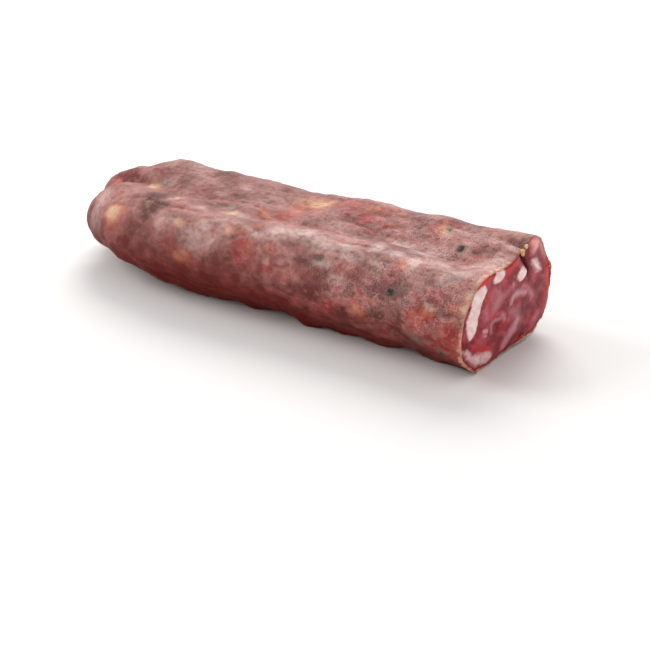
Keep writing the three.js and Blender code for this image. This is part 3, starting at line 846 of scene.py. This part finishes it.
def finish_piece(name, mesh, points):
    """Scales a mesh from the section's millimetres to the frame's metres and links it."""
    placed = (points - PLACED) * MM
    mesh.vertices.foreach_set("co", placed.astype(np.float32).ravel())
    mesh.polygons.foreach_set("use_smooth", np.ones(len(mesh.polygons), bool))
    mesh.update()
    piece = bpy.data.objects.new(name, mesh)
    bpy.context.scene.collection.objects.link(piece)
    return piece


# Materials

def rgb(red, green, blue):
    """A colour's display values from 0 to 255, as the light values that a shader takes."""
    values = [c / 255 for c in (red, green, blue)]
    return [c / 12.92 if c <= 0.04045 else ((c + 0.055) / 1.055) ** 2.4 for c in values] + [1.0]


class Finish:
    """Short calls that build one material's nodes. Sizes are in millimetres."""

    def __init__(self, name, across=1.0, slope=0.0):
        self.across = across
        self.slope = slope
        self.material = bpy.data.materials.new(name)
        self.material.use_nodes = True
        self.tree = self.material.node_tree
        self.shader = self.tree.nodes["Principled BSDF"]
        place = self.add("ShaderNodeTexCoord").outputs["Object"]
        scaled = self.add("ShaderNodeVectorMath", operation="SCALE")
        self.put(scaled.inputs[0], place)
        self.put(scaled.inputs["Scale"], 1 / MM)
        self.place = scaled.outputs[0]

    def add(self, kind, **settings):
        node = self.tree.nodes.new(kind)
        for key, value in settings.items():
            setattr(node, key, value)
        return node

    def put(self, socket, value):
        if isinstance(value, bpy.types.NodeSocket):
            self.tree.links.new(value, socket)
        else:
            socket.default_value = value

    def stretched(self, stretch, shift=0.0):
        node = self.add("ShaderNodeMapping", vector_type="TEXTURE")
        self.put(node.inputs["Vector"], self.place)
        node.inputs["Location"].default_value = (shift, shift * 0.7, shift * 1.3)
        node.inputs["Rotation"].default_value = (self.slope, 0.0, 0.0)
        node.inputs["Scale"].default_value = (stretch, self.across, 1.0)
        return node.outputs[0]

    def noise(self, size, detail=2.0, stretch=1.0, shift=0.0, roughness=0.5):
        node = self.add("ShaderNodeTexNoise")
        self.put(node.inputs["Vector"], self.stretched(stretch, shift))
        node.inputs["Scale"].default_value = 1 / size
        node.inputs["Detail"].default_value = detail
        node.inputs["Roughness"].default_value = roughness
        return node.outputs["Fac"]

    def value(self, name):
        return self.add("ShaderNodeAttribute", attribute_name=name).outputs["Fac"]

    def step(self, value, low, high, low_out=0.0, high_out=1.0):
        node = self.add("ShaderNodeMapRange", interpolation_type="SMOOTHSTEP")
        self.put(node.inputs["Value"], value)
        node.inputs["From Min"].default_value = low
        node.inputs["From Max"].default_value = high
        node.inputs["To Min"].default_value = low_out
        node.inputs["To Max"].default_value = high_out
        return node.outputs[0]

    def math(self, operation, a, b):
        node = self.add("ShaderNodeMath", operation=operation)
        self.put(node.inputs[0], a)
        self.put(node.inputs[1], b)
        return node.outputs[0]

    def times(self, a, b):
        return self.math("MULTIPLY", a, b)

    def mix(self, factor, a, b):
        node = self.add("ShaderNodeMix", data_type="RGBA")
        self.put(node.inputs[0], factor)
        self.put(node.inputs[6], a)
        self.put(node.inputs[7], b)
        return node.outputs[2]

    def bump(self, height, depth, under=None):
        node = self.add("ShaderNodeBump")
        node.inputs["Distance"].default_value = depth * MM
        self.put(node.inputs["Height"], height)
        if under is not None:
            self.put(node.inputs["Normal"], under)
        return node.outputs[0]

    def height(self):
        node = self.add("ShaderNodeSeparateXYZ")
        self.put(node.inputs[0], self.place)
        return node.outputs["Z"]

    def look(self, colour, roughness, specular, normal):
        """Each is a node's output or a number that holds for the whole surface."""
        self.put(self.shader.inputs["Base Color"], colour)
        self.put(self.shader.inputs["Roughness"], roughness)
        self.put(self.shader.inputs["Specular IOR Level"], specular)
        self.put(self.shader.inputs["Normal"], normal)
        return self.material

    def soften(self, weight, radius, scale):
        """Light spreads under the surface."""
        self.shader.inputs["Subsurface Weight"].default_value = weight
        self.shader.inputs["Subsurface Radius"].default_value = radius
        self.shader.inputs["Subsurface Scale"].default_value = scale * MM


def casing_material():
    """Dusty skin over mottled meat: what shows through, painted shade on the underside and in hollows, bloom
    dust with painted sheen and glints, mould, and a dry edge with a painted highlight along the top of the
    cut.
    """
    f = Finish("casing")
    height = f.height()
    from_cut = f.value("from_cut")
    raised = f.value("raised")
    broad = f.noise(8.0, 2.0, 1.3)
    medium = f.noise(3.2, 2.0, 1.2, 31.0)
    small = f.noise(1.3, 2.0, 1.1, 57.0)
    grain = f.noise(0.36, 2.0, 1.0, 43.0, 0.6)
    near_cut = f.step(from_cut, 15.0, 75.0, 1.0, 0.2)
    mottling = f.step(from_cut, 20.0, 90.0, 1.0, 0.55)

    colour = f.mix(f.step(broad, 0.34, 0.66), rgb(141, 82, 77), rgb(175, 115, 107))
    off_shoulder = f.step(f.value("shoulder"), 0.1, 0.9, 1.0, 0.0)
    far = f.times(f.step(from_cut, 50.0, 100.0, 0.0, 0.5), off_shoulder)
    colour = f.mix(far, colour, rgb(116, 64, 62))
    colour = f.mix(f.times(f.step(medium, 0.48, 0.68, 0.0, 0.8), mottling), colour, rgb(160, 58, 52))
    colour = f.mix(f.times(f.step(medium, 0.3, 0.48, 0.75, 0.0), mottling), colour, rgb(92, 54, 50))
    # Whitish bloom on the top and along the shoulder, with a painted sheen of light from behind
    bloom_and_sheen = f.times(f.value("shoulder"), 0.33)
    bloom_and_sheen = f.math("MAXIMUM", f.step(height, 20.0, 28.5, 0.0, 0.25), bloom_and_sheen)
    bloom_and_sheen = f.times(bloom_and_sheen, f.step(small, 0.3, 0.65, 0.45, 1.0))
    colour = f.mix(bloom_and_sheen, colour, rgb(194, 161, 151))

    deep_red = f.mix(f.step(from_cut, 45.0, 120.0), rgb(164, 46, 44), rgb(100, 14, 12))
    colour = f.mix(f.step(f.value("patch_red"), 0.0, 0.85, 0.0, 0.9), colour, deep_red)
    colour = f.mix(f.step(f.value("patch_dark"), 0.0, 0.85, 0.0, 0.95), colour, rgb(76, 34, 26))
    colour = f.mix(f.step(f.value("patch_orange"), 0.0, 0.6, 0.0, 0.75), colour, rgb(178, 86, 68))
    colour = f.mix(f.step(f.value("patch_orange"), 0.25, 1.0, 0.0, 0.9), colour, rgb(214, 146, 110))
    cream = f.times(f.value("patch_cream"), f.step(small, 0.3, 0.6, 0.75, 1.0))
    colour = f.mix(f.step(cream, 0.05, 0.95, 0.0, 0.85), colour, rgb(224, 188, 154))
    colour = f.mix(f.times(f.step(small, 0.48, 0.7, 0.0, 0.4), mottling), colour, rgb(206, 142, 134))
    colour = f.mix(f.times(f.step(small, 0.3, 0.48, 0.45, 0.0), mottling), colour, rgb(96, 36, 34))

    # Painted shade under the piece: the lower skin darkens to deep red towards the floor, more strongly away
    # from the cut
    low = f.math("ADD", height, f.step(medium, 0.3, 0.7, -2.5, 2.5))
    low = f.math("SUBTRACT", low, f.step(from_cut, 15.0, 80.0, 0.0, 8.0))
    shade = f.times(f.step(low, 0.0, 16.0, 0.97, 0.0), f.step(from_cut, 3.0, 60.0, 0.85, 1.0))
    colour = f.mix(shade, colour, rgb(98, 16, 6))
    # Painted shade in the hollows of the fine relief
    colour = f.mix(f.times(f.step(raised, -0.3, 0.0, 0.65, 0.0), mottling), colour, rgb(92, 34, 32))

    bloom = f.times(f.value("patch_film"), f.step(small, 0.3, 0.62, 0.55, 1.0))
    colour = f.mix(f.times(bloom, 0.85), colour, rgb(218, 192, 186))
    # Fine white bloom on the upper skin near the cut, with painted glints, and whiter on the crests of the
    # relief as a painted highlight
    upper = f.step(height, 8.0, 23.0)
    cloud = f.times(f.step(f.noise(4.0, 3.0, 1.5, 19.0), 0.36, 0.62, 0.2, 1.0), upper)
    powder_and_glints = f.times(f.step(grain, 0.4, 0.68), f.times(near_cut, cloud))
    powder_and_glints = f.times(powder_and_glints, f.step(raised, -0.2, 0.25, 0.35, 1.0))
    colour = f.mix(f.times(powder_and_glints, 0.65), colour, rgb(228, 196, 196))
    colour = f.mix(f.times(f.step(grain, 0.32, 0.5, 0.3, 0.0), near_cut), colour, rgb(104, 48, 48))

    mould = f.times(f.value("patch_mould"), f.step(f.noise(0.9, 3.0, 1.0, 3.0), 0.3, 0.55, 0.7, 1.0))
    ring = f.times(f.step(mould, 0.05, 0.5), f.step(grain, 0.35, 0.65, 0.25, 0.8))
    colour = f.mix(ring, colour, rgb(122, 108, 98))
    colour = f.mix(f.step(mould, 0.4, 0.85), colour, rgb(48, 46, 38))
    # Pale dry casing at the cut's edge, which along the top of the cut is also a painted highlight
    edge = f.math("ADD", from_cut, f.step(small, 0.3, 0.7, -0.6, 0.6))
    edge = f.times(f.step(edge, 0.1, 1.3, 1.0, 0.0), f.value("dry_edge_and_highlight"))
    colour = f.mix(edge, colour, rgb(234, 180, 154))
    f.soften(0.08, (1.0, 0.35, 0.25), 1.5)
    roughness = f.step(small, 0.3, 0.7, 0.4, 0.6)
    specular = f.step(height, 5.0, 20.0, 0.05, 0.15)
    relief = f.bump(f.noise(0.9, 3.0, 1.2, 11.0, 0.6), 0.25)
    return f.look(colour, roughness, specular, f.bump(grain, 0.12, relief))


def meat_material():
    """The cut: lean meat in soft blotches, fat with ragged edges, the fold darkened by painted shade, painted
    glints and an apex highlight among the pale streaks, and a painted glow of light through the casing along
    the rim.
    """
    f = Finish("cut_meat", across=1.7, slope=-0.5)
    height = f.height()
    grain = f.noise(0.7, 3.0, 1.0, 9.0, 0.6)
    blotch = f.noise(2.6, 1.0, 1.0, 27.0)
    broad = f.noise(6.0, 1.0, 1.0, 61.0)
    lean = f.mix(f.step(broad, 0.36, 0.64), rgb(144, 34, 48), rgb(170, 58, 70))
    lean = f.mix(f.step(blotch, 0.46, 0.72, 0.0, 0.55), lean, rgb(196, 92, 100))
    lean = f.mix(f.step(blotch, 0.28, 0.5, 0.5, 0.0), lean, rgb(114, 18, 32))
    lean = f.mix(f.step(grain, 0.52, 0.7, 0.0, 0.4), lean, rgb(206, 118, 122))
    lean = f.mix(f.step(grain, 0.3, 0.46, 0.35, 0.0), lean, rgb(102, 20, 30))
    lean = f.mix(f.times(f.value("deep"), 0.85), lean, rgb(92, 14, 28))
    lean = f.mix(f.step(f.value("rim"), 0.2, 1.3, 0.6, 0.0), lean, rgb(142, 24, 22))
    # Vivid red lean, and a painted glow along the rim where light comes through the casing
    lean = f.mix(f.value("red_and_glow"), lean, rgb(208, 54, 44))
    # Pale streaks, with painted glints and a painted highlight on the apex, lighter and more salmon towards
    # the top
    pale = f.times(f.value("pale"), f.step(grain, 0.3, 0.6, 0.85, 1.0))
    lean = f.mix(pale, lean, f.mix(f.step(height, 23.0, 27.0), rgb(222, 164, 174), rgb(255, 176, 170)))

    fat = f.mix(f.step(f.noise(1.8, 3.0, 1.0, 66.0), 0.35, 0.7), rgb(240, 198, 196), rgb(255, 232, 228))
    ragged = f.math("ADD", f.value("fat"), f.times(f.math("SUBTRACT", grain, 0.5), 0.35))
    colour = f.mix(f.step(ragged, 0.08, 0.92), lean, fat)
    # The fold: the folded-in casing's darker colour, deepened by painted shade in the crevice
    colour = f.mix(f.step(f.value("fold"), 0.0, 0.9, 0.0, 0.9), colour, rgb(98, 46, 50))
    f.soften(0.12, (1.0, 0.3, 0.22), 1.5)
    relief = f.bump(f.noise(1.3, 3.0, 1.0, 33.0), 0.08)
    relief = f.bump(f.noise(0.4, 2.0, 1.0, 88.0), 0.05, relief)
    return f.look(colour, f.step(grain, 0.3, 0.7, 0.28, 0.45), 0.09, relief)


def dried_material():
    """The thin dry casing where it stands free of the meat."""
    f = Finish("dried_casing")
    colour = f.mix(f.step(f.noise(2.4, 3.0, 1.0, 14.0), 0.35, 0.65), rgb(206, 146, 122), rgb(170, 98, 86))
    colour = f.mix(f.step(f.noise(0.8, 2.0, 1.0, 51.0), 0.5, 0.7, 0.0, 0.5), colour, rgb(226, 190, 162))
    f.soften(0.15, (1.0, 0.5, 0.35), 1.0)
    return f.look(colour, 0.5, 0.3, f.bump(f.noise(0.5, 2.0, 1.0, 6.0), 0.08))


def pepper_material():
    """Dark shell outside, and a pale kernel where the grain is broken."""
    f = Finish("pepper")
    kernel = f.mix(f.step(f.height(), 28.8, 29.8), rgb(240, 172, 104), rgb(236, 206, 158))
    kernel = f.mix(f.step(f.noise(0.5, 3.0, 1.0, 4.0), 0.35, 0.65, 0.0, 0.5), kernel, rgb(206, 142, 78))
    shell = f.mix(f.step(f.noise(0.5, 3.0, 1.0, 9.0), 0.4, 0.65), rgb(46, 34, 26), rgb(92, 66, 46))
    broken = f.math("ADD", f.value("shell"), f.times(f.noise(0.6, 2.0, 1.0, 2.0), 0.5))
    colour = f.mix(f.step(broken, 0.55, 0.95), kernel, shell)
    return f.look(colour, 0.5, 0.35, f.bump(f.noise(0.45, 3.0, 1.0, 7.0), 0.12))


make_camera()
make_lights()
make_floor()
bpy.context.scene.view_settings.view_transform = "Standard"

body = make_body()
for material in (meat_material(), casing_material()):
    body.data.materials.append(material)
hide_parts(NODE)
lip = make_lip()
flakes = make_flakes()
dried = dried_material()
lip.data.materials.append(dried)
flakes.data.materials.append(dried)
pepper = make_pepper()
pepper.data.materials.append(pepper_material())
for piece in (body, lip, flakes, pepper):
    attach(piece, "root")
